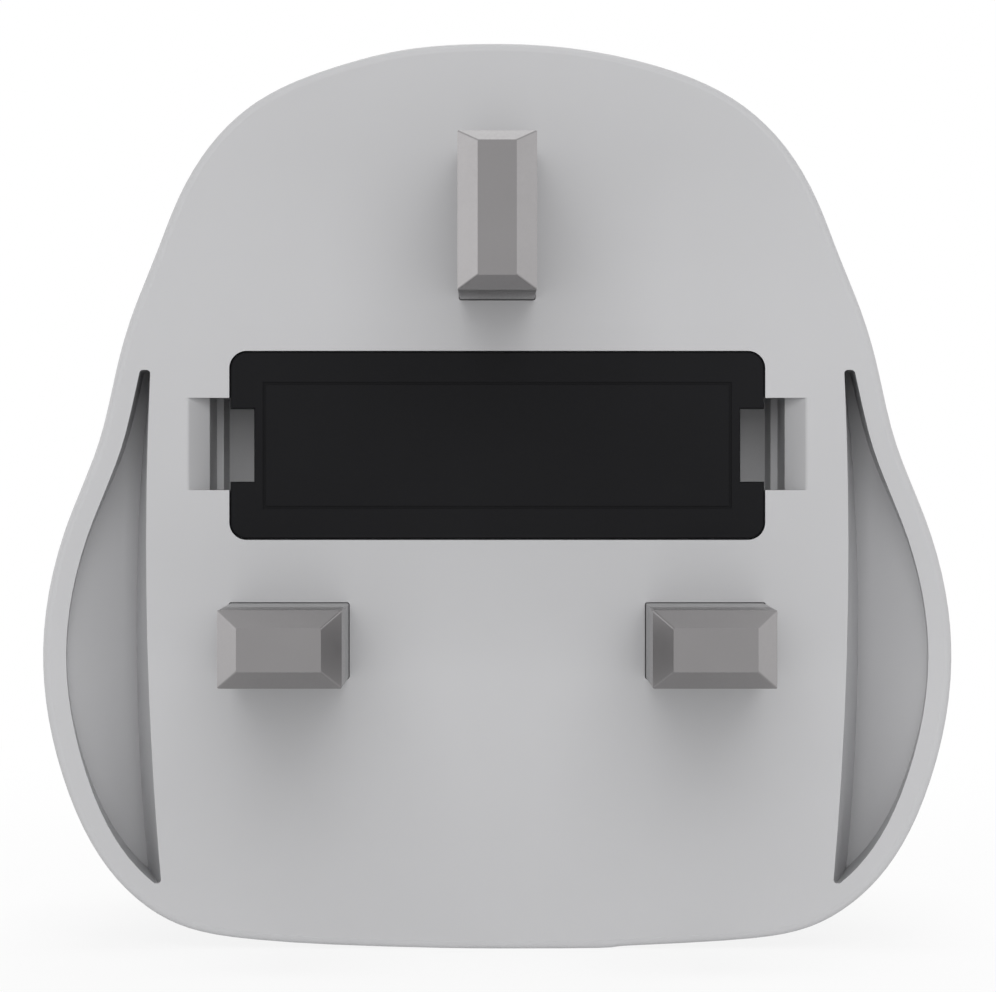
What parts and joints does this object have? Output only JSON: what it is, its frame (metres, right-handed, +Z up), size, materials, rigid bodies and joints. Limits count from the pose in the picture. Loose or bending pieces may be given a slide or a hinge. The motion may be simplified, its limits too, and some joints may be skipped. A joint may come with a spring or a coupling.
{
  "type": "travel adapter",
  "caption": "Light grey travel adapter with flat three-pin plug face, black pull-out fuse carrier, and a round earthed two-pin socket behind a spring shutter.",
  "frame": {"origin": "on the pin face, in the middle plane, midway in height between the earth pin's centre and the line and neutral pins' centres", "axes": "-Y the way the pins point, +Y out of the socket recess, +Z up towards the earth pin, +X to the right when looking at the pin face"},
  "size_m": [0.0486, 0.0722, 0.0483],
  "materials": {
    "housing": "fine satin moulded plastic, light grey",
    "insulator": "moulded plastic, off-white",
    "pin_metal": "nickel-plated, satin",
    "sleeve": "moulded plastic, mid grey",
    "carrier": "moulded plastic, black",
    "ceramic": "white ceramic",
    "plated_steel": "plated sheet",
    "contact_brass": "rolled brass strip"
  },
  "bodies": {
    "housing": {"rear_cover": "housing", "front_shell": "housing", "socket_floor": "housing", "contact_block": "insulator", "earth_pin": "pin_metal", "line_pin": "pin_metal", "neutral_pin": "pin_metal", "line_sleeve": "sleeve", "neutral_sleeve": "sleeve", "line_fuse_clip": "contact_brass", "load_fuse_clip": "contact_brass", "line_contact": "contact_brass", "neutral_contact": "contact_brass", "clip_rivet": "contact_brass", "earth_bracket": "plated_steel", "shutter_spring": "plated_steel"},
    "fuse_drawer": {"fuse_carrier": "carrier", "fuse_tube": "ceramic", "fuse_cap_left": "plated_steel", "fuse_cap_right": "plated_steel"},
    "shutter_slider": {"shutter": "insulator"}
  },
  "joints": [
    {"name": "fuse_pull", "type": "slide", "parent": "housing", "child": "fuse_drawer", "axis": [0, -1, 0], "range_m": [0, 0.014]},
    {"name": "shutter_slide", "type": "slide", "parent": "housing", "child": "shutter_slider", "axis": [0, 0, -1], "range_m": [0, 0.006], "stiffness_N_per_m": 120, "springref_m": -0.004, "deforming": ["shutter_spring"]}
  ]
}
